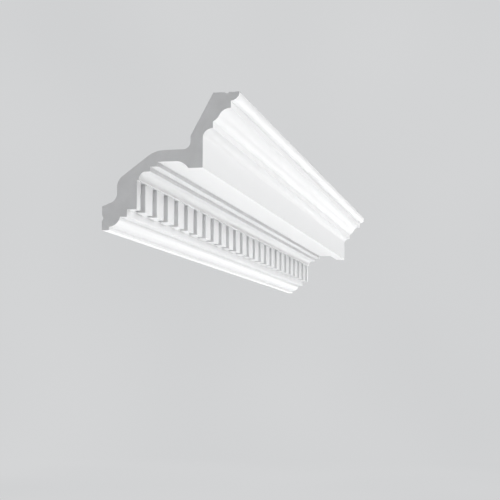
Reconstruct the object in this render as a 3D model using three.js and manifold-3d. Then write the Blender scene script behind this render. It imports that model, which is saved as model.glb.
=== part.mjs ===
// A length of dentil cornice, moulded in one piece of rigid foam, for the angle between a wall and
// a ceiling. Millimetres, +Z up. +X runs along the cornice, +Y points into the wall, and the room
// is on the -Y side. The origin lies on the wall seat at mid length, in the strip that takes the
// adhesive, so a wall's plane placed there holds the cornice.

import * as THREE from 'three';
import { mergeVertices } from 'three/addons/utils/BufferGeometryUtils.js';
import Module from 'manifold-3d';

// Run of the cornice. Both ends fall at the middle of a tooth, so that lengths butt into one row.
const DENTIL_PITCH = 48;
const DENTIL_REPEATS = 25;

// Teeth and the recesses between them. A recess is shallow above its shelf and deep below it.
const GAP_WIDTH = 19.4;
const TOOTH_HEIGHT = 35.1;
const TOOTH_OVERHANG = 12.2;
const RECESS_DEPTH = 11.1;
const SHELF_DEPTH = 5.8;
const SHELF_HEIGHT = 13.1;

// Members of the face below the teeth, from the wall outwards: a foot, an ovolo and a fillet.
const FOOT_PROJECTION = 9.2;
const FOOT_HEIGHT = 4.2;
const OVOLO_WIDTH = 13.5;
const OVOLO_HEIGHT = 11.6;
const OVOLO_SWELL = 3.1;
const LOW_FILLET_STEP = 8.8;
const LOW_FILLET_HEIGHT = 8.8;

// Members between the teeth and the soffit: a small lip, a cove and two steps.
const LIP_PROJECTION = 2.2;
const COVE_WIDTH = 6.9;
const COVE_HEIGHT = 10;
const COVE_HOLLOW = 2.3;
const LOWER_TREAD = 6.7;
const LOWER_RISER = 5.7;
const UPPER_TREAD = 9.9;
const UPPER_RISER = 5.6;

// The corona: a flat soffit, a hollow that lets water drip, the lip's underside and the tall face.
const SOFFIT_WIDTH = 23.5;
const DRIP_WIDTH = 14.2;
const DRIP_DROP = 8.8;
const DRIP_HOLLOW = 2;
const CORONA_LIP_WIDTH = 17.5;
const CORONA_HEIGHT = 37.5;

// Crown members, up to the ceiling: a cavetto, a fillet, a cyma, a fillet and an ovolo.
const CAVETTO_WIDTH = 12.2;
const CAVETTO_HEIGHT = 9.5;
const CAVETTO_HOLLOW = 2.9;
const MIDDLE_FILLET_HEIGHT = 8.2;
const CYMA_SWELL_WIDTH = 7.6;
const CYMA_SWELL_HEIGHT = 7;
const CYMA_SWELL = 0.95;
const CYMA_HOLLOW_WIDTH = 14.2;
const CYMA_HOLLOW_HEIGHT = 8.3;
const CYMA_HOLLOW = 2.55;
const TOP_FILLET_HEIGHT = 8.8;
const EDGE_OVOLO_WIDTH = 10.4;
const EDGE_OVOLO_HEIGHT = 10.5;
const EDGE_OVOLO_SWELL = 3.1;

// Seats: the strips that bear on the wall and the ceiling, each with a round groove that keys the
// glue. The wall's groove opens upwards in a flare.
const WALL_SEAT_HEIGHT = 29;
const WALL_STRIP_HEIGHT = 11.6;
const WALL_KEY_WIDTH = 5.5;
const WALL_KEY_HOLLOW = 1.4;
const WALL_FLARE_HEIGHT = 2.7;
const WALL_FLARE_DEPTH = 0.8;
const CEILING_SEAT_WIDTH = 32;
const CEILING_STRIP_WIDTH = 12.7;
const CEILING_KEY_WIDTH = 5.4;
const CEILING_KEY_DEPTH = 1.7;

// Hollow back: how thick the wall of the moulding is behind each main face, and its round corners.
const LOW_WALL = 13;
const LOW_SHOULDER_HEIGHT = 6.8;
const TOOTH_SHOULDER_HEIGHT = 0.6;
const SOFFIT_WALL = 14;
const SOFFIT_SHOULDER_WIDTH = 3.7;
const CORONA_WALL = 15.1;
const CROWN_SHOULDER_HEIGHT = 1.5;
const LOW_SHOULDER_RADIUS = 11;
const TOOTH_SHOULDER_RADIUS = 15;
const SOFFIT_SHOULDER_RADIUS = 32;
const CORONA_CORNER_RADIUS = 9;
const CROWN_SHOULDER_RADIUS = 6;

// Straight pieces that stand for one round stretch of the section.
const ARC_STEPS = 10;

// How far a recess's cutting form runs past the open sides of the recess.
const CUT_CLEARANCE = 2;

// The primer that covers the moulding.
const PRIMER_COLOUR = 0xf3f4f4;
const PRIMER_ROUGHNESS = 0.55;

// Derived places on the section: distance from the wall, and height above the foot.
const lowFilletFace = FOOT_PROJECTION + OVOLO_WIDTH + LOW_FILLET_STEP;
const toothFace = lowFilletFace + TOOTH_OVERHANG;
const stepFace = toothFace + LIP_PROJECTION + COVE_WIDTH + LOWER_TREAD + UPPER_TREAD;
const coronaFace = stepFace + SOFFIT_WIDTH + DRIP_WIDTH + CORONA_LIP_WIDTH;
const crownWidth = CAVETTO_WIDTH + CYMA_SWELL_WIDTH + CYMA_HOLLOW_WIDTH + EDGE_OVOLO_WIDTH;
const totalProjection = coronaFace + crownWidth;

const toothBottom = FOOT_HEIGHT + OVOLO_HEIGHT + LOW_FILLET_HEIGHT;
const toothTop = toothBottom + TOOTH_HEIGHT;
const soffitHeight = toothTop + COVE_HEIGHT + LOWER_RISER + UPPER_RISER;
const coronaTop = soffitHeight - DRIP_DROP + CORONA_HEIGHT;
const crownFillets = MIDDLE_FILLET_HEIGHT + TOP_FILLET_HEIGHT;
const crownCurves = CAVETTO_HEIGHT + CYMA_SWELL_HEIGHT + CYMA_HOLLOW_HEIGHT + EDGE_OVOLO_HEIGHT;
const totalHeight = coronaTop + crownFillets + crownCurves;

const corniceLength = DENTIL_PITCH * DENTIL_REPEATS;
const seatPointHeight = WALL_STRIP_HEIGHT / 2;

// The section is drawn with the wall at 0, the room at negative x and height as y.
function sectionPoint(fromWall, height) {
  return new THREE.Vector2(-fromWall, height);
}

// Adds a straight edge that goes out into the room and up by the given sizes.
function edgeTo(points, out, up) {
  const start = points.at(-1);
  points.push(new THREE.Vector2(start.x - out, start.y + up));
}

// Adds a round edge. A positive swell bulges into the room and a negative one is hollow; its size
// is the greatest distance between the arc and its chord.
function arcTo(points, out, up, swell) {
  const start = points.at(-1);
  const chord = new THREE.Vector2(-out, up);
  const radius = chord.lengthSq() / (8 * swell) + swell / 2;
  const outward = new THREE.Vector2(-chord.y, chord.x).normalize();
  const centre = start.clone().addScaledVector(chord, 1 / 2).addScaledVector(outward, swell - radius);
  const sweep = -2 * Math.asin(chord.length() / (2 * radius));
  for (let step = 1; step <= ARC_STEPS; step += 1) {
    points.push(start.clone().rotateAround(centre, sweep * step / ARC_STEPS));
  }
}

// The face that shows from the room, from the foot on the wall up to the edge on the ceiling.
function drawFace() {
  const face = [sectionPoint(0, 0)];
  edgeTo(face, FOOT_PROJECTION, 0);
  edgeTo(face, 0, FOOT_HEIGHT);
  arcTo(face, OVOLO_WIDTH, OVOLO_HEIGHT, OVOLO_SWELL);
  edgeTo(face, LOW_FILLET_STEP, 0);
  edgeTo(face, 0, LOW_FILLET_HEIGHT);
  edgeTo(face, TOOTH_OVERHANG, 0);
  edgeTo(face, 0, TOOTH_HEIGHT);
  edgeTo(face, LIP_PROJECTION, 0);
  arcTo(face, COVE_WIDTH, COVE_HEIGHT, -COVE_HOLLOW);
  edgeTo(face, LOWER_TREAD, 0);
  edgeTo(face, 0, LOWER_RISER);
  edgeTo(face, UPPER_TREAD, 0);
  edgeTo(face, 0, UPPER_RISER);
  edgeTo(face, SOFFIT_WIDTH, 0);
  arcTo(face, DRIP_WIDTH, -DRIP_DROP, -DRIP_HOLLOW);
  edgeTo(face, CORONA_LIP_WIDTH, 0);
  edgeTo(face, 0, CORONA_HEIGHT);
  arcTo(face, CAVETTO_WIDTH, CAVETTO_HEIGHT, -CAVETTO_HOLLOW);
  edgeTo(face, 0, MIDDLE_FILLET_HEIGHT);
  arcTo(face, CYMA_SWELL_WIDTH, CYMA_SWELL_HEIGHT, CYMA_SWELL);
  arcTo(face, CYMA_HOLLOW_WIDTH, CYMA_HOLLOW_HEIGHT, -CYMA_HOLLOW);
  edgeTo(face, 0, TOP_FILLET_HEIGHT);
  arcTo(face, EDGE_OVOLO_WIDTH, EDGE_OVOLO_HEIGHT, EDGE_OVOLO_SWELL);
  return face;
}

// The ceiling seat, from the end of the face to the far side of its glue groove.
function addCeilingSeat(points) {
  edgeTo(points, -CEILING_STRIP_WIDTH, 0);
  arcTo(points, -CEILING_KEY_WIDTH, 0, -CEILING_KEY_DEPTH);
}

// The wall seat, from its top edge to the lower side of its glue groove.
function addWallSeat(points) {
  const grooveHeight = WALL_KEY_WIDTH + WALL_FLARE_HEIGHT;
  edgeTo(points, 0, WALL_STRIP_HEIGHT + grooveHeight - WALL_SEAT_HEIGHT);
  edgeTo(points, WALL_FLARE_DEPTH, -WALL_FLARE_HEIGHT);
  arcTo(points, -WALL_FLARE_DEPTH, -WALL_KEY_WIDTH, -WALL_KEY_HOLLOW);
}

// Points of the arc that rounds one corner of the hollow back.
function roundCorner(before, corner, after, radius) {
  const arriving = before.clone().sub(corner).normalize();
  const leaving = after.clone().sub(corner).normalize();
  const halfAngle = Math.acos(arriving.dot(leaving)) / 2;
  const inward = arriving.clone().add(leaving).normalize();
  const centre = corner.clone().addScaledVector(inward, radius / Math.sin(halfAngle));
  const start = corner.clone().addScaledVector(arriving, radius / Math.tan(halfAngle));
  const sweep = Math.sign(leaving.cross(arriving)) * (Math.PI - 2 * halfAngle);
  const arc = [];
  for (let step = 0; step <= ARC_STEPS; step += 1) {
    arc.push(start.clone().rotateAround(centre, sweep * step / ARC_STEPS));
  }
  return arc;
}

// The hollow back, from the ceiling seat down to the wall seat. It follows the main faces at the
// thickness that the moulding has there.
function drawBack() {
  const lowBack = lowFilletFace - LOW_WALL;
  const coronaBack = coronaFace - CORONA_WALL;
  const shelfBack = soffitHeight + SOFFIT_WALL;
  const ceilingCorner = sectionPoint(totalProjection - CEILING_SEAT_WIDTH, totalHeight);
  const wallCorner = sectionPoint(0, WALL_SEAT_HEIGHT);
  const shoulders = [
    [sectionPoint(coronaBack, coronaTop + CROWN_SHOULDER_HEIGHT), CROWN_SHOULDER_RADIUS],
    [sectionPoint(coronaBack, shelfBack), CORONA_CORNER_RADIUS],
    [sectionPoint(stepFace - SOFFIT_SHOULDER_WIDTH, shelfBack), SOFFIT_SHOULDER_RADIUS],
    [sectionPoint(lowBack, toothTop + TOOTH_SHOULDER_HEIGHT), TOOTH_SHOULDER_RADIUS],
    [sectionPoint(lowBack, WALL_SEAT_HEIGHT + LOW_SHOULDER_HEIGHT), LOW_SHOULDER_RADIUS],
  ];
  const corners = [ceilingCorner, ...shoulders.map(([corner]) => corner), wallCorner];
  const arcs = shoulders.flatMap(([corner, radius], index) =>
    roundCorner(corners[index], corner, corners[index + 2], radius));
  return [ceilingCorner, ...arcs, wallCorner];
}

// Extrudes an outline of the section along the cornice, centred on mid length.
function extrudeAlong(outline, length) {
  const geometry = new THREE.ExtrudeGeometry(new THREE.Shape(outline), {
    depth: length,
    bevelEnabled: false,
  });
  const intoWall = new THREE.Vector3(0, 1, 0);
  const upwards = new THREE.Vector3(0, 0, 1);
  const alongRun = new THREE.Vector3(1, 0, 0);
  geometry.translate(0, 0, -length / 2);
  geometry.applyMatrix4(new THREE.Matrix4().makeBasis(intoWall, upwards, alongRun));
  return geometry;
}

// The form that cuts one recess between two teeth: deep below its shelf and shallow above it.
function recessForm() {
  const shelf = toothTop - SHELF_HEIGHT;
  const inFront = toothFace + CUT_CLEARANCE;
  const below = toothBottom - CUT_CLEARANCE;
  const outline = [
    sectionPoint(inFront, below),
    sectionPoint(inFront, toothTop),
    sectionPoint(toothFace - SHELF_DEPTH, toothTop),
    sectionPoint(toothFace - SHELF_DEPTH, shelf),
    sectionPoint(toothFace - RECESS_DEPTH, shelf),
    sectionPoint(toothFace - RECESS_DEPTH, below),
  ];
  return extrudeAlong(outline, GAP_WIDTH);
}

const wasm = await Module();
wasm.setup();

// Turns a closed geometry into a solid that can be joined and cut.
function toSolid(geometry) {
  const bare = geometry.clone();
  bare.deleteAttribute('normal');
  bare.deleteAttribute('uv');
  const merged = mergeVertices(bare);
  const vertProperties = new Float32Array(merged.attributes.position.array);
  const triVerts = new Uint32Array(merged.index.array);
  return new wasm.Manifold(new wasm.Mesh({ numProp: 3, vertProperties, triVerts }));
}

// Turns a solid back into a geometry with flat faces.
function toGeometry(solid) {
  const mesh = solid.getMesh();
  const geometry = new THREE.BufferGeometry();
  geometry.setAttribute('position', new THREE.BufferAttribute(mesh.vertProperties, mesh.numProp));
  geometry.setIndex(new THREE.BufferAttribute(mesh.triVerts, 1));
  const flat = geometry.toNonIndexed();
  flat.computeVertexNormals();
  return flat;
}

// Centres of the recesses, half a pitch in from each end.
function recessCentres() {
  const centres = [];
  for (let repeat = 0; repeat < DENTIL_REPEATS; repeat += 1) {
    centres.push((repeat + 1 / 2) * DENTIL_PITCH - corniceLength / 2);
  }
  return centres;
}

// The closed outline of the whole section: the face, the ceiling seat, the back and the wall seat.
function drawSection() {
  const outline = drawFace();
  addCeilingSeat(outline);
  outline.push(...drawBack());
  addWallSeat(outline);
  return outline;
}

// The cornice as one solid, set so that the wall seat's strip lies at the origin.
function buildCornice() {
  let solid = toSolid(extrudeAlong(drawSection(), corniceLength));
  for (const centre of recessCentres()) {
    solid = solid.subtract(toSolid(recessForm().translate(centre, 0, 0)));
  }
  const primedFoam = new THREE.MeshStandardMaterial({
    color: PRIMER_COLOUR,
    roughness: PRIMER_ROUGHNESS,
    metalness: 0,
  });
  const mesh = new THREE.Mesh(toGeometry(solid), primedFoam);
  mesh.name = 'cornice_length';
  mesh.position.z = -seatPointHeight;
  return mesh;
}

const cornice = new THREE.Group();
cornice.add(buildCornice());

export default cornice;
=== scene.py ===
"""Dentil cornice length in its finished look.

Metres, +Z up. +X runs along the cornice, the wall is on +Y and the room on -Y. The cornice is one
moulding of rigid foam. Its face, seats and hollow back keep the skin of the mould, under a white
primer, and its two sawn ends show the grey foam.
"""

import logging
import math
from dataclasses import dataclass, field
from enum import Enum

import bmesh
import bpy
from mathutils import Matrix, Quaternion, Vector


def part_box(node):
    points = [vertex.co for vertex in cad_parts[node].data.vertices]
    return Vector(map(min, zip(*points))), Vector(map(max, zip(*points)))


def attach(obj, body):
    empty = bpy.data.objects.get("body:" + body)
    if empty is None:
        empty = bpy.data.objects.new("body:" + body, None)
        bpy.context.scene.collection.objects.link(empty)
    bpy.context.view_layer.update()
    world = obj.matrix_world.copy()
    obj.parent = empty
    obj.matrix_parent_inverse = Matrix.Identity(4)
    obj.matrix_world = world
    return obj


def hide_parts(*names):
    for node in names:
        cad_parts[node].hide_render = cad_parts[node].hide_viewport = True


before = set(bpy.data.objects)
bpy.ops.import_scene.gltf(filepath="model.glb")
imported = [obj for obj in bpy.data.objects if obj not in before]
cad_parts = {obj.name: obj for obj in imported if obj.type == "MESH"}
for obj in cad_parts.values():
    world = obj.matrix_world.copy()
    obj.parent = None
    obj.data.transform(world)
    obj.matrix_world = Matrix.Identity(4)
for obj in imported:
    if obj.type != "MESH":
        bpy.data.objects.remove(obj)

NODE = "cornice_length"
BODY = "root"
ALONG_RUN = Vector((1.0, 0.0, 0.0))
TOUCH = 1e-5

Colour = tuple[float, float, float]
Span = tuple[float, float]

log = logging.getLogger("cornice")


class Surface(Enum):
    """The surfaces of the moulding that take a finish of their own, as material slots."""

    FACE = 0
    BACK = 1
    SAWN = 2


@dataclass(frozen=True)
class Member:
    """One member of the section.

    Attributes:
        out: How far it reaches out into the room.
        up: How far it rises.
        swell: Greatest distance between its arc and the chord, hollow where negative. A member
            without one is square: a tread and then a riser.
    """

    out: float
    up: float
    swell: float = 0.0


def to_object(name: str, canvas: bmesh.types.BMesh) -> bpy.types.Object:
    """Turns a mesh in the making into an object of the scene.

    Args:
        name: The object's name.
        canvas: The mesh, which is freed.

    Returns:
        The object, at the origin.
    """
    mesh = bpy.data.meshes.new(name)
    canvas.to_mesh(mesh)
    canvas.free()
    made = bpy.data.objects.new(name, mesh)
    bpy.context.scene.collection.objects.link(made)
    return made


def lengthen(section: bmesh.types.BMesh, length: float) -> None:
    """Extrudes a filled section along the run, centred on mid length.

    Args:
        section: The section, in the plane x = 0, which becomes a closed solid.
        length: How long the solid becomes.
    """
    bmesh.ops.translate(section, verts=section.verts[:], vec=ALONG_RUN * (-length / 2))
    grown = bmesh.ops.extrude_face_region(section, geom=section.faces[:], use_keep_orig=True)
    far_corners = [item for item in grown["geom"] if isinstance(item, bmesh.types.BMVert)]
    bmesh.ops.translate(section, verts=far_corners, vec=ALONG_RUN * length)
    bmesh.ops.recalc_face_normals(section, faces=section.faces[:])


def cut_away(block: bmesh.types.BMesh, form: bmesh.types.BMesh) -> bmesh.types.BMesh:
    """Cuts a closed form out of a closed block.

    Args:
        block: The block, which is freed.
        form: The form to cut away, which is freed.

    Returns:
        The shape that is left.
    """
    shape = to_object("block", block)
    cutter = to_object("form", form)
    cut = shape.modifiers.new("cut", "BOOLEAN")
    cut.object = cutter
    cut.operation = "DIFFERENCE"
    cut.solver = "EXACT"
    left = bmesh.new()
    left.from_object(shape, bpy.context.evaluated_depsgraph_get())
    for used in (shape, cutter):
        bpy.data.meshes.remove(used.data)
    return left


def at_end(place: Vector, length: float) -> bool:
    """Says whether a place lies in an end plane of a stretch that is centred on mid length.

    Args:
        place: The place.
        length: The stretch's length.

    Returns:
        True in either of its two end planes.
    """
    return length / 2 - abs(place.x) < TOUCH


class SectionPen:
    """Draws an outline in the plane x = 0, from one member to the next."""

    ARC_PIECE = 0.0011
    FEWEST_PIECES = 2

    def __init__(self, start: Vector) -> None:
        """Sets the pen down on an empty canvas.

        Args:
            start: The first point of the outline.
        """
        self.canvas = bmesh.new()
        self.tip = self.canvas.verts.new(start)

    def line(self, out: float, up: float) -> bmesh.types.BMVert:
        """Adds a straight edge.

        Args:
            out: How far the edge reaches into the room.
            up: How far it rises.

        Returns:
            The corner at the edge's end.
        """
        grown = bmesh.ops.extrude_vert_indiv(self.canvas, verts=[self.tip])
        self.tip = grown["verts"][0]
        bmesh.ops.translate(self.canvas, verts=[self.tip], vec=(0.0, -out, up))
        return self.tip

    def line_to(self, place: Vector) -> bmesh.types.BMVert:
        """Adds a straight edge to a place on the section.

        Args:
            place: The point where the edge ends.

        Returns:
            The corner at the edge's end.
        """
        corner = self.line(0.0, 0.0)
        corner.co = place
        return corner

    def arc(self, member: Member) -> None:
        """Adds a round edge, spun about its own centre.

        Args:
            member: The round member to draw.
        """
        chord = Vector((0.0, -member.out, member.up))
        radius = chord.length_squared / (8 * member.swell) + member.swell / 2
        outward = Vector((0.0, -chord.z, chord.y)).normalized()
        centre = self.tip.co + chord / 2 + outward * (member.swell - radius)
        sweep = 2 * math.asin(chord.length / (2 * abs(radius)))
        turned = bmesh.ops.spin(
            self.canvas,
            geom=[self.tip],
            cent=centre,
            axis=ALONG_RUN,
            angle=math.copysign(sweep, -member.swell),
            steps=max(self.FEWEST_PIECES, int(abs(radius) * sweep / self.ARC_PIECE)),
            use_merge=False,
        )
        self.tip = turned["geom_last"][0]

    def draw(self, member: Member) -> None:
        """Adds a member, round or square.

        Args:
            member: The member to draw.
        """
        if member.swell:
            self.arc(member)
            return
        for out, up in ((member.out, 0.0), (0.0, member.up)):
            if out or up:
                self.line(out, up)

    def close(self) -> bmesh.types.BMesh:
        """Merges the outline's end with its start and fills it.

        Returns:
            The filled section.
        """
        bmesh.ops.remove_doubles(self.canvas, verts=self.canvas.verts[:], dist=TOUCH)
        bmesh.ops.contextual_create(self.canvas, geom=self.canvas.edges[:])
        return self.canvas


@dataclass
class CorniceSection:
    """The section of the moulding: its face, its two seats and its hollow back.

    The members run from the foot on the wall, up the face, over the ceiling seat and down the
    back. The back keeps the thickness that the moulding has behind each main face.
    """

    foot: Member = Member(0.0092, 0.0042)
    ovolo: Member = Member(0.0135, 0.0116, 0.0031)
    low_fillet: Member = Member(0.0088, 0.0088)
    tooth: Member = Member(0.0122, 0.0351)
    lip: Member = Member(0.0022, 0.0)
    cove: Member = Member(0.0069, 0.0100, -0.0023)
    lower_step: Member = Member(0.0067, 0.0057)
    upper_step: Member = Member(0.0099, 0.0056)
    soffit: Member = Member(0.0235, 0.0)
    drip: Member = Member(0.0142, -0.0088, -0.0020)
    corona: Member = Member(0.0175, 0.0375)
    cavetto: Member = Member(0.0122, 0.0095, -0.0029)
    middle_fillet: Member = Member(0.0, 0.0082)
    cyma_swell: Member = Member(0.0076, 0.0070, 0.00095)
    cyma_hollow: Member = Member(0.0142, 0.0083, -0.00255)
    top_fillet: Member = Member(0.0, 0.0088)
    edge_ovolo: Member = Member(0.0104, 0.0105, 0.0031)

    ceiling_seat: float = 0.0320
    ceiling_strip: Member = Member(-0.0127, 0.0)
    ceiling_key: Member = Member(-0.0054, 0.0, -0.0017)
    wall_seat: float = 0.0290
    wall_strip: float = 0.0116
    wall_flare: Member = Member(0.0008, -0.0027)
    wall_key: Member = Member(-0.0008, -0.0055, -0.0014)
    deepest_key: float = 0.004

    low_wall: float = 0.0130
    low_shoulder: float = 0.0068
    tooth_shoulder: float = 0.0006
    soffit_wall: float = 0.0140
    soffit_shoulder: float = 0.0037
    corona_wall: float = 0.0151
    crown_shoulder: float = 0.0015
    low_radius: float = 0.011
    tooth_radius: float = 0.015
    soffit_radius: float = 0.032
    corona_radius: float = 0.009
    crown_radius: float = 0.006
    corner_pieces: int = 12

    def face_members(self) -> tuple[Member, ...]:
        """Lists the members that show from the room, from the foot to the ceiling's edge."""
        return (
            self.foot, self.ovolo, self.low_fillet, self.tooth, self.lip, self.cove,
            self.lower_step, self.upper_step, self.soffit, self.drip, self.corona, self.cavetto,
            self.middle_fillet, self.cyma_swell, self.cyma_hollow, self.top_fillet, self.edge_ovolo,
        )

    def reach(self, last: Member) -> Vector:
        """Adds up the face's members to where one of them ends.

        Args:
            last: The member whose end is asked for.

        Returns:
            The place on the section, with the foot's wall corner at the origin.
        """
        place = Vector((0.0, 0.0, 0.0))
        for member in self.face_members():
            place += Vector((0.0, -member.out, member.up))
            if member is last:
                break
        return place

    def wall_groove(self) -> Span:
        """Gives the heights between which the wall seat's glue groove lies."""
        return self.wall_strip, self.wall_strip - self.wall_key.up - self.wall_flare.up

    def ceiling_groove(self) -> Span:
        """Gives the places along Y between which the ceiling seat's glue groove lies."""
        start = self.reach(self.edge_ovolo).y - self.ceiling_strip.out
        return start, start - self.ceiling_key.out

    def in_groove(self, place: Vector) -> bool:
        """Says whether a place lies in one of the two glue grooves, their edges included.

        Args:
            place: A point on the section.

        Returns:
            True in either groove.
        """
        wall_low, wall_high = self.wall_groove()
        near_wall = place.y > -self.deepest_key
        if near_wall and wall_low - TOUCH < place.z < wall_high + TOUCH:
            return True
        ceiling_low, ceiling_high = self.ceiling_groove()
        near_ceiling = place.z > self.reach(self.edge_ovolo).z - self.deepest_key
        return near_ceiling and ceiling_low - TOUCH < place.y < ceiling_high + TOUCH

    def back_corners(self) -> list[tuple[Vector, float]]:
        """Finds the corners of the hollow back, from the crown down to the wall.

        Returns:
            Each corner's place before rounding, with the radius that rounds it.
        """
        low_back = self.reach(self.low_fillet).y + self.low_wall
        corona_back = self.reach(self.corona).y + self.corona_wall
        shelf_back = self.reach(self.soffit).z + self.soffit_wall
        crown_height = self.reach(self.corona).z + self.crown_shoulder
        soffit_place = self.reach(self.upper_step).y + self.soffit_shoulder
        tooth_height = self.reach(self.tooth).z + self.tooth_shoulder
        return [
            (Vector((0.0, corona_back, crown_height)), self.crown_radius),
            (Vector((0.0, corona_back, shelf_back)), self.corona_radius),
            (Vector((0.0, soffit_place, shelf_back)), self.soffit_radius),
            (Vector((0.0, low_back, tooth_height)), self.tooth_radius),
            (Vector((0.0, low_back, self.wall_seat + self.low_shoulder)), self.low_radius),
        ]

    def draw_face(self, pen: SectionPen) -> Vector:
        """Draws the members of the face.

        Args:
            pen: The pen, at the foot's wall corner.

        Returns:
            The upper front corner of a tooth, as drawn.
        """
        tooth_top = pen.tip.co.copy()
        for member in self.face_members():
            pen.draw(member)
            if member is self.tooth:
                tooth_top = pen.tip.co.copy()
        return tooth_top

    def draw_seats_and_back(self, pen: SectionPen) -> list[tuple[bmesh.types.BMVert, float]]:
        """Draws the ceiling seat, the back and the wall seat, down to the foot's wall corner.

        Args:
            pen: The pen, at the ceiling's edge.

        Returns:
            Each corner of the back that is still to be rounded, with its radius.
        """
        start = Vector((0.0, 0.0, 0.0))
        pen.draw(self.ceiling_strip)
        pen.draw(self.ceiling_key)
        inner_strip = self.ceiling_seat + self.ceiling_strip.out + self.ceiling_key.out
        pen.line(-inner_strip, 0.0)
        corners = [(pen.line_to(place), radius) for place, radius in self.back_corners()]
        pen.line_to(Vector((0.0, 0.0, self.wall_seat)))
        pen.line(0.0, self.wall_groove()[1] - self.wall_seat)
        pen.line(self.wall_flare.out, self.wall_flare.up)
        pen.arc(self.wall_key)
        pen.line_to(start)
        return corners

    def round_corner(
        self, canvas: bmesh.types.BMesh, corner: bmesh.types.BMVert, radius: float
    ) -> None:
        """Rounds one corner of the back.

        Args:
            canvas: The mesh that holds the section.
            corner: The corner to round.
            radius: The radius of its arc.
        """
        arms = [edge.other_vert(corner).co - corner.co for edge in corner.link_edges]
        setback = radius / math.tan(arms[0].angle(arms[1]) / 2)
        bmesh.ops.bevel(
            canvas,
            geom=[corner],
            offset=setback,
            offset_type="OFFSET",
            affect="VERTICES",
            segments=self.corner_pieces,
            profile=0.5,
            material=-1,
        )

    def draw(self) -> tuple[bmesh.types.BMesh, Vector]:
        """Draws the whole section.

        Returns:
            The filled section, with the foot's wall corner at the origin, and the upper front
            corner of a tooth.
        """
        pen = SectionPen(Vector((0.0, 0.0, 0.0)))
        tooth_top = self.draw_face(pen)
        corners = self.draw_seats_and_back(pen)
        canvas = pen.close()
        for corner, radius in corners:
            self.round_corner(canvas, corner, radius)
        return canvas, tooth_top


@dataclass
class DentilRow:
    """The teeth and the recesses between them, which repeat along the run.

    Each recess is shallow above its shelf and deep below it, and open at its foot. A repeat has
    its recess in the middle, so that half a tooth stands at each end of the run.
    """

    repeats: int = 25
    gap: float = 0.0194
    depth: float = 0.0111
    shelf_depth: float = 0.0058
    shelf_height: float = 0.0131
    clearance: float = 0.002

    def recess(self, tooth_top: Vector, tooth_height: float) -> bmesh.types.BMesh:
        """Makes the form that parts one tooth from the next.

        The form starts at the drawn corner of the tooth, so that its top is level with the
        underside of the lip to the last digit.

        Args:
            tooth_top: The upper front corner of a tooth as drawn.
            tooth_height: The height of a tooth.

        Returns:
            A closed form, centred on mid length.
        """
        pen = SectionPen(tooth_top)
        pen.line(-self.shelf_depth, 0.0)
        pen.line(0.0, -self.shelf_height)
        pen.line(self.shelf_depth - self.depth, 0.0)
        pen.line(0.0, self.shelf_height - tooth_height - self.clearance)
        pen.line(self.depth + self.clearance, 0.0)
        pen.line_to(tooth_top + Vector((0.0, -self.clearance, 0.0)))
        pen.line_to(tooth_top)
        form = pen.close()
        lengthen(form, self.gap)
        return form


@dataclass(frozen=True)
class Grain:
    """One noise pattern of a finish, on the object's own coordinates.

    Attributes:
        size: The size of its lumps in metres.
        layers: How many finer layers it carries.
        stretch: How much longer the lumps are along each axis.
        depth: How high it stands as a bump, in metres.
    """

    size: float
    layers: float
    stretch: tuple[float, float, float] = (1.0, 1.0, 1.0)
    depth: float = 0.0


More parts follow.
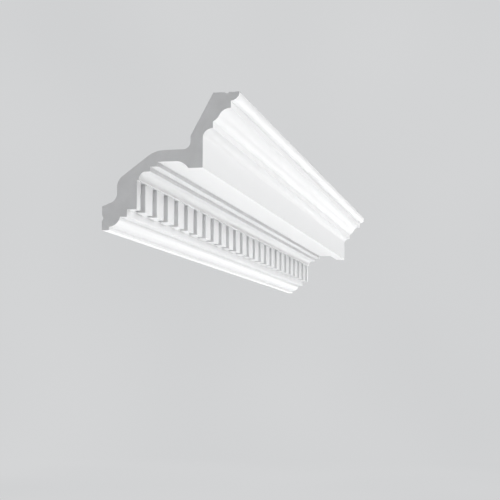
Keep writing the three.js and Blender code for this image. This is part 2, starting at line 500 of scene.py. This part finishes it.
class NodeSheet:
    """A material's node tree, with short calls to add nodes and link them."""

    USUAL_LOW = 0.3
    USUAL_HIGH = 0.7

    def __init__(self, name: str) -> None:
        """Makes an empty material.

        Args:
            name: The material's name.
        """
        self.material = bpy.data.materials.new(name)
        self.material.use_nodes = True
        self.tree = self.material.node_tree
        self.shader = self.tree.nodes["Principled BSDF"]
        self.place = self.add("ShaderNodeTexCoord").outputs["Object"]

    def join(self, socket: bpy.types.NodeSocket, value: object) -> None:
        """Sets or links one input.

        Args:
            socket: The input.
            value: A plain value, or the output to link from.
        """
        if isinstance(value, bpy.types.NodeSocket):
            self.tree.links.new(value, socket)
        else:
            socket.default_value = value

    def add(self, kind: str, **sockets: object) -> bpy.types.Node:
        """Adds a node.

        Args:
            kind: The node's type.
            **sockets: A value or a link for each named input, with _ for a space.

        Returns:
            The new node.
        """
        node = self.tree.nodes.new(kind)
        for name, value in sockets.items():
            self.join(node.inputs[name.replace("_", " ")], value)
        return node

    def surface(self, **sockets: object) -> None:
        """Sets or links inputs of the surface itself.

        Args:
            **sockets: A value or a link for each named input, with _ for a space.
        """
        for name, value in sockets.items():
            self.join(self.shader.inputs[name.replace("_", " ")], value)

    def noise(self, grain: Grain) -> bpy.types.NodeSocket:
        """Adds a noise pattern.

        Args:
            grain: The pattern.

        Returns:
            The pattern's factor.
        """
        squeeze = tuple(1 / longer for longer in grain.stretch)
        place = self.add("ShaderNodeMapping", Vector=self.place, Scale=squeeze).outputs["Vector"]
        texture = self.add(
            "ShaderNodeTexNoise", Vector=place, Scale=1 / grain.size, Detail=grain.layers
        )
        return texture.outputs["Fac"]

    def spread(self, factor: bpy.types.NodeSocket, span: Span) -> bpy.types.NodeSocket:
        """Stretches the usual reach of a pattern over a span.

        Args:
            factor: The pattern.
            span: The values at its dark and its light end.

        Returns:
            The stretched value.
        """
        low, high = span
        node = self.add(
            "ShaderNodeMapRange",
            Value=factor,
            From_Min=self.USUAL_LOW,
            From_Max=self.USUAL_HIGH,
            To_Min=low,
            To_Max=high,
        )
        return node.outputs["Result"]

    def scaled(
        self, value: bpy.types.NodeSocket, scale: float, offset: bpy.types.NodeSocket
    ) -> bpy.types.NodeSocket:
        """Multiplies a value and adds another to it.

        Args:
            value: The value.
            scale: What it is multiplied by.
            offset: What is added.

        Returns:
            The sum.
        """
        node = self.tree.nodes.new("ShaderNodeMath")
        node.operation = "MULTIPLY_ADD"
        for socket, given in zip(node.inputs, (value, scale, offset)):
            self.join(socket, given)
        return node.outputs["Value"]

    def tint(self, factor: bpy.types.NodeSocket, dark: Colour, light: Colour) -> bpy.types.NodeSocket:
        """Mixes two colours by a factor.

        Args:
            factor: 0 for the dark colour and 1 for the light one.
            dark: The dark colour.
            light: The light colour.

        Returns:
            The mixed colour.
        """
        node = self.tree.nodes.new("ShaderNodeMix")
        node.data_type = "RGBA"
        colours = [socket for socket in node.inputs if socket.type == "RGBA"]
        self.join(node.inputs["Factor"], factor)
        for socket, colour in zip(colours, (dark, light)):
            self.join(socket, (*colour, 1.0))
        return next(socket for socket in node.outputs if socket.type == "RGBA")

    def relief(
        self, height: bpy.types.NodeSocket, depth: float, under: bpy.types.NodeSocket | None = None
    ) -> bpy.types.NodeSocket:
        """Adds a fine bump.

        Args:
            height: The pattern that stands up.
            depth: How high it stands in metres.
            under: The normal of a bump that it lies on, if there is one.

        Returns:
            The bumped normal.
        """
        node = self.add("ShaderNodeBump", Height=height, Distance=depth, Strength=1.0)
        if under is not None:
            self.join(node.inputs["Normal"], under)
        return node.outputs["Normal"]


@dataclass(frozen=True)
class PrimedSkin:
    """White primer over the smooth skin of the mould: satin-matte, faintly uneven."""

    name: str = "white_primer"
    dark: Colour = (0.816, 0.820, 0.826)
    light: Colour = (0.825, 0.829, 0.835)
    cloud: Grain = Grain(0.09, 4.0)
    rub: Grain = Grain(0.045, 2.0)
    roughness: Span = (0.52, 0.545)
    peel: Grain = Grain(0.0012, 2.0, depth=0.000003)
    dust: Grain = Grain(0.0004, 1.0, depth=0.0000015)
    shine: float = 0.4

    def material(self) -> bpy.types.Material:
        """Makes the finish's material."""
        sheet = NodeSheet(self.name)
        clouds = sheet.spread(sheet.noise(self.cloud), (0.0, 1.0))
        peel = sheet.relief(sheet.noise(self.peel), self.peel.depth)
        sheet.surface(
            Base_Color=sheet.tint(clouds, self.dark, self.light),
            Roughness=sheet.spread(sheet.noise(self.rub), self.roughness),
            Normal=sheet.relief(sheet.noise(self.dust), self.dust.depth, peel),
            Specular_IOR_Level=self.shine,
        )
        return sheet.material


@dataclass(frozen=True)
class BackSkin:
    """The skin of the back: the same primer, thinner, over foam that flowed in the mould."""

    name: str = "thin_primer_on_foam_skin"
    dark: Colour = (0.66, 0.655, 0.63)
    light: Colour = (0.77, 0.768, 0.75)
    flow: Grain = Grain(0.035, 6.0, (5.0, 1.0, 1.0))
    rub: Grain = Grain(0.0117, 3.0, (5.0, 1.0, 1.0))
    roughness: Span = (0.62, 0.8)
    pits: Grain = Grain(0.0022, 4.0, depth=0.00012)
    shine: float = 0.3

    def material(self) -> bpy.types.Material:
        """Makes the finish's material."""
        sheet = NodeSheet(self.name)
        flow = sheet.spread(sheet.noise(self.flow), (0.0, 1.0))
        sheet.surface(
            Base_Color=sheet.tint(flow, self.dark, self.light),
            Roughness=sheet.spread(sheet.noise(self.rub), self.roughness),
            Normal=sheet.relief(sheet.noise(self.pits), self.pits.depth),
            Specular_IOR_Level=self.shine,
        )
        return sheet.material


@dataclass(frozen=True)
class SawnFoam:
    """The sawn end: bare grey foam, with fine closed cells and the faint marks of the saw."""

    name: str = "sawn_grey_foam"
    dark: Colour = (0.455, 0.460, 0.468)
    light: Colour = (0.555, 0.560, 0.570)
    cell_size: float = 0.0006
    cell_depth: float = 0.00009
    cell_tone: float = 0.35
    patches: Grain = Grain(0.02, 3.0)
    patch_tone: Span = (0.1, 0.6)
    saw_marks: Grain = Grain(0.0017, 2.0, (1.0, 60.0, 1.0), depth=0.00003)
    roughness: float = 0.9
    shine: float = 0.2

    def material(self) -> bpy.types.Material:
        """Makes the finish's material."""
        sheet = NodeSheet(self.name)
        voronoi = sheet.add("ShaderNodeTexVoronoi", Vector=sheet.place, Scale=1 / self.cell_size)
        cells = voronoi.outputs["Distance"]
        patches = sheet.spread(sheet.noise(self.patches), self.patch_tone)
        sawn = sheet.relief(sheet.noise(self.saw_marks), self.saw_marks.depth)
        sheet.surface(
            Base_Color=sheet.tint(sheet.scaled(cells, self.cell_tone, patches), self.dark, self.light),
            Roughness=self.roughness,
            Normal=sheet.relief(cells, self.cell_depth, sawn),
            Specular_IOR_Level=self.shine,
        )
        return sheet.material


@dataclass(frozen=True)
class PaleStudioPaint:
    """The studio's plain pale paint, which shows at one even brightness from every side."""

    name: str = "pale_studio"
    dark: Colour = (0.630, 0.637, 0.645)
    light: Colour = (0.660, 0.666, 0.673)
    patches: Grain = Grain(9.0, 1.0)

    def material(self) -> bpy.types.Material:
        """Makes the finish's material."""
        sheet = NodeSheet(self.name)
        patches = sheet.spread(sheet.noise(self.patches), (0.0, 1.0))
        sheet.surface(
            Emission_Color=sheet.tint(patches, self.dark, self.light),
            Emission_Strength=1.0,
            Base_Color=(0.0, 0.0, 0.0, 1.0),
            Specular_IOR_Level=0.0,
        )
        return sheet.material


@dataclass
class CorniceMoulding:
    """The whole cornice length, as one piece in the place of the measured solid."""

    section: CorniceSection = field(default_factory=CorniceSection)
    dentils: DentilRow = field(default_factory=DentilRow)
    face: PrimedSkin = PrimedSkin()
    back: BackSkin = BackSkin()
    sawn: SawnFoam = SawnFoam()
    arris: float = 0.0005
    arris_segments: int = 3
    sharp_turn: float = math.radians(25)
    flat_turn: float = math.radians(0.1)
    back_way: Vector = field(default_factory=lambda: Vector((0.0, 0.6, 1.0)))
    least_lean: float = 0.01

    def __post_init__(self) -> None:
        """Reads the solid's box, which gives the run's length and where the section stands."""
        self.low, self.high = (Vector(corner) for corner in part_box(NODE))
        self.length = self.high.x - self.low.x
        self.pitch = self.length / self.dentils.repeats

    def one_repeat(self) -> bmesh.types.BMesh:
        """Makes one repeat of the run, a pitch long, with its recess cut.

        Returns:
            The closed repeat, centred on mid length, with the foot's wall corner at height 0.
        """
        block, tooth_top = self.section.draw()
        lengthen(block, self.pitch)
        repeat = cut_away(block, self.dentils.recess(tooth_top, self.section.tooth.up))
        bmesh.ops.remove_doubles(repeat, verts=repeat.verts[:], dist=TOUCH)
        bmesh.ops.dissolve_limit(
            repeat, angle_limit=self.flat_turn, verts=repeat.verts[:], edges=repeat.edges[:]
        )
        return repeat

    def is_arris(self, edge: bmesh.types.BMEdge) -> bool:
        """Says whether an edge is one that the mould leaves slightly round.

        Args:
            edge: An edge of one repeat.

        Returns:
            True for a sharp edge, away from the repeat's ends and from the glue grooves.
        """
        if edge.calc_face_angle(0.0) < self.sharp_turn:
            return False
        middle = (edge.verts[0].co + edge.verts[1].co) / 2
        return not at_end(middle, self.pitch) and not self.section.in_groove(middle)

    def soften(self, repeat: bmesh.types.BMesh) -> None:
        """Rounds the arrises and the inner corners of one repeat.

        Args:
            repeat: The closed repeat.
        """
        bmesh.ops.bevel(
            repeat,
            geom=[edge for edge in repeat.edges if self.is_arris(edge)],
            offset=self.arris,
            offset_type="OFFSET",
            affect="EDGES",
            segments=self.arris_segments,
            profile=0.5,
            clamp_overlap=True,
            material=-1,
        )

    def run_on(self, run: bmesh.types.BMesh) -> None:
        """Sets repeats end to end and closes the two ends of the run.

        Args:
            run: One repeat, which becomes the whole run.
        """
        ends = [face for face in run.faces if at_end(face.calc_center_median(), self.pitch)]
        bmesh.ops.delete(run, geom=ends, context="FACES_ONLY")
        to_first_place = ALONG_RUN * ((self.pitch - self.length) / 2)
        bmesh.ops.translate(run, verts=run.verts[:], vec=to_first_place)
        first = run.verts[:] + run.edges[:] + run.faces[:]
        for place in range(1, self.dentils.repeats):
            copied = bmesh.ops.duplicate(run, geom=first)["geom"]
            corners = [item for item in copied if isinstance(item, bmesh.types.BMVert)]
            bmesh.ops.translate(run, verts=corners, vec=ALONG_RUN * (place * self.pitch))
        bmesh.ops.remove_doubles(run, verts=run.verts[:], dist=TOUCH)
        bmesh.ops.holes_fill(run, edges=[edge for edge in run.edges if edge.is_boundary])
        bmesh.ops.recalc_face_normals(run, faces=run.faces[:])

    def surface_of(self, face: bmesh.types.BMFace) -> Surface:
        """Says which surface of the moulding a face belongs to.

        Args:
            face: A face of the whole run.

        Returns:
            The sawn end, the back where the face looks up and towards the wall, or the face.
        """
        if at_end(face.calc_center_median(), self.length):
            return Surface.SAWN
        return Surface.BACK if face.normal.dot(self.back_way) > self.least_lean else Surface.FACE

    def dress(self, run: bpy.types.Object) -> None:
        """Gives each surface its finish, in the order of the slots, and evens the shading.

        Args:
            run: The finished shape.
        """
        finishes = {Surface.FACE: self.face, Surface.BACK: self.back, Surface.SAWN: self.sawn}
        for surface in Surface:
            run.data.materials.append(finishes[surface].material())
        run.data.set_sharp_from_angle(angle=self.sharp_turn)
        even = run.modifiers.new("even_shading", "WEIGHTED_NORMAL")
        even.keep_sharp = True

    def build(self) -> bpy.types.Object:
        """Builds the moulding, sets it in the solid's place and dresses it.

        Returns:
            The finished piece.
        """
        canvas = self.one_repeat()
        self.soften(canvas)
        self.run_on(canvas)
        for face in canvas.faces:
            face.smooth = True
            face.material_index = self.surface_of(face).value
        bmesh.ops.translate(canvas, verts=canvas.verts[:], vec=(0.0, self.high.y, self.low.z))
        run = to_object("cornice_moulding", canvas)
        self.dress(run)
        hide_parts(NODE)
        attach(run, BODY)
        return run


@dataclass
class PhotoCamera:
    """The camera of the photograph: under the cornice, close to its near end, looking along it."""

    image_side: float = 500.0
    focal_length: float = 1157.0
    sensor: float = 36.0
    before_end: float = 1.3068
    from_wall: float = 0.4771
    below_foot: float = 0.1621
    turn: float = math.radians(12.695)
    rise: float = math.radians(5.768)
    roll: float = math.radians(0.315)

    def build(self, low: Vector, high: Vector) -> bpy.types.Object:
        """Places the camera and makes it the scene's own.

        Args:
            low: The lowest corner of the cornice.
            high: The highest corner of the cornice.

        Returns:
            The camera.
        """
        lens = bpy.data.cameras.new("photo_camera")
        lens.sensor_width = self.sensor
        lens.lens = self.sensor * self.focal_length / self.image_side
        camera = bpy.data.objects.new("photo_camera", lens)
        level = math.cos(self.rise)
        ahead = Vector((level * math.cos(self.turn), level * math.sin(self.turn), math.sin(self.rise)))
        camera.rotation_mode = "QUATERNION"
        camera.rotation_quaternion = ahead.to_track_quat("-Z", "Y") @ Quaternion((0, 0, 1), self.roll)
        camera.location = (low.x - self.before_end, high.y - self.from_wall, low.z - self.below_foot)
        bpy.context.scene.collection.objects.link(camera)
        bpy.context.scene.camera = camera
        return camera


@dataclass(frozen=True)
class SoftLight:
    """A soft studio light that falls evenly along the whole run.

    Attributes:
        name: The light's name.
        around: Where it comes from, in degrees from the room side towards the far end.
        up: How high it comes from, in degrees above the level.
        spread: How wide it looks from the cornice, in degrees.
        power: The light that it gives to a face turned to it, in watts per square metre.
    """

    name: str
    around: float
    up: float
    spread: float
    power: float

    def build(self) -> bpy.types.Object:
        """Makes the light and turns it to its direction."""
        around, up = math.radians(self.around), math.radians(self.up)
        level = math.cos(up)
        source = Vector((math.sin(around) * level, -math.cos(around) * level, math.sin(up)))
        lamp = bpy.data.lights.new(self.name, "SUN")
        lamp.energy = self.power
        lamp.angle = math.radians(self.spread)
        light = bpy.data.objects.new(self.name, lamp)
        light.location = source
        light.rotation_mode = "QUATERNION"
        light.rotation_quaternion = source.to_track_quat("Z", "Y")
        bpy.context.scene.collection.objects.link(light)
        return light


@dataclass
class Studio:
    """A plain pale floor far below, a backdrop all around and plain soft light.

    The floor and the backdrop are there to be seen: they neither light the cornice nor shade it.
    """

    floor_drop: float = 3.4
    floor_squares: int = 8
    backdrop_radius: float = 40.0
    backdrop_sides: int = 48
    backdrop_rings: int = 24
    air_level: float = 0.12
    paint: PaleStudioPaint = PaleStudioPaint()
    lights: tuple[SoftLight, ...] = (
        SoftLight("light_from_room", 20.0, 15.0, 49.0, 2.69),
        SoftLight("light_from_below", 80.0, -50.0, 20.0, 1.17),
        SoftLight("light_from_wall_foot", 180.0, -75.0, 49.0, 1.65),
        SoftLight("light_from_wall_side", 180.0, -30.0, 20.0, 2.6),
        SoftLight("light_along_run", 78.0, -12.0, 17.0, 0.43),
        SoftLight("light_along_run_low", 82.0, -25.0, 17.0, 0.17),
        SoftLight("light_on_cut_end", -90.0, 0.0, 8.6, 1.88),
        SoftLight("light_from_above", 180.0, 80.0, 20.0, 1.8),
    )

    def surround(
        self, name: str, canvas: bmesh.types.BMesh, paint: bpy.types.Material
    ) -> bpy.types.Object:
        """Makes a surface of the studio that only the camera sees.

        Args:
            name: The surface's name.
            canvas: Its mesh, which is freed.
            paint: Its material.

        Returns:
            The surface.
        """
        surface = to_object(name, canvas)
        surface.data.materials.append(paint)
        surface.visible_diffuse = False
        surface.visible_glossy = False
        surface.visible_transmission = False
        surface.visible_shadow = False
        return surface

    def floor(self) -> bmesh.types.BMesh:
        """Lays the floor."""
        ground = bmesh.new()
        squares = self.floor_squares
        bmesh.ops.create_grid(ground, x_segments=squares, y_segments=squares, size=self.backdrop_radius)
        bmesh.ops.translate(ground, verts=ground.verts[:], vec=(0.0, 0.0, -self.floor_drop))
        return ground

    def backdrop(self) -> bmesh.types.BMesh:
        """Shapes the backdrop around the floor."""
        shell = bmesh.new()
        bmesh.ops.create_uvsphere(
            shell,
            u_segments=self.backdrop_sides,
            v_segments=self.backdrop_rings,
            radius=self.backdrop_radius,
        )
        return shell

    def air(self) -> bpy.types.World:
        """Fills the studio with a little even light."""
        world = bpy.data.worlds.new("studio_air")
        world.use_nodes = True
        sky = world.node_tree.nodes["Background"]
        sky.inputs["Color"].default_value = (1.0, 1.0, 1.0, 1.0)
        sky.inputs["Strength"].default_value = self.air_level
        return world

    def build(self) -> None:
        """Sets up the surfaces, the air and the lights."""
        scene = bpy.context.scene
        scene.view_settings.view_transform = "Standard"
        scene.world = self.air()
        paint = self.paint.material()
        for name, canvas in (("studio_floor", self.floor()), ("studio_backdrop", self.backdrop())):
            log.info("surface: %s", self.surround(name, canvas, paint).name)
        for light in self.lights:
            log.info("light: %s", light.build().name)


def main() -> None:
    """Builds the camera, the cornice and the studio, and reports each piece."""
    logging.basicConfig(level=logging.INFO, format="%(name)s: %(message)s")
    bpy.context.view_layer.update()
    cornice = CorniceMoulding()
    log.info("camera: %s", PhotoCamera().build(cornice.low, cornice.high).name)
    piece = cornice.build()
    log.info("piece: %s, %d faces", piece.name, len(piece.data.polygons))
    Studio().build()


if __name__ == "__main__":
    main()
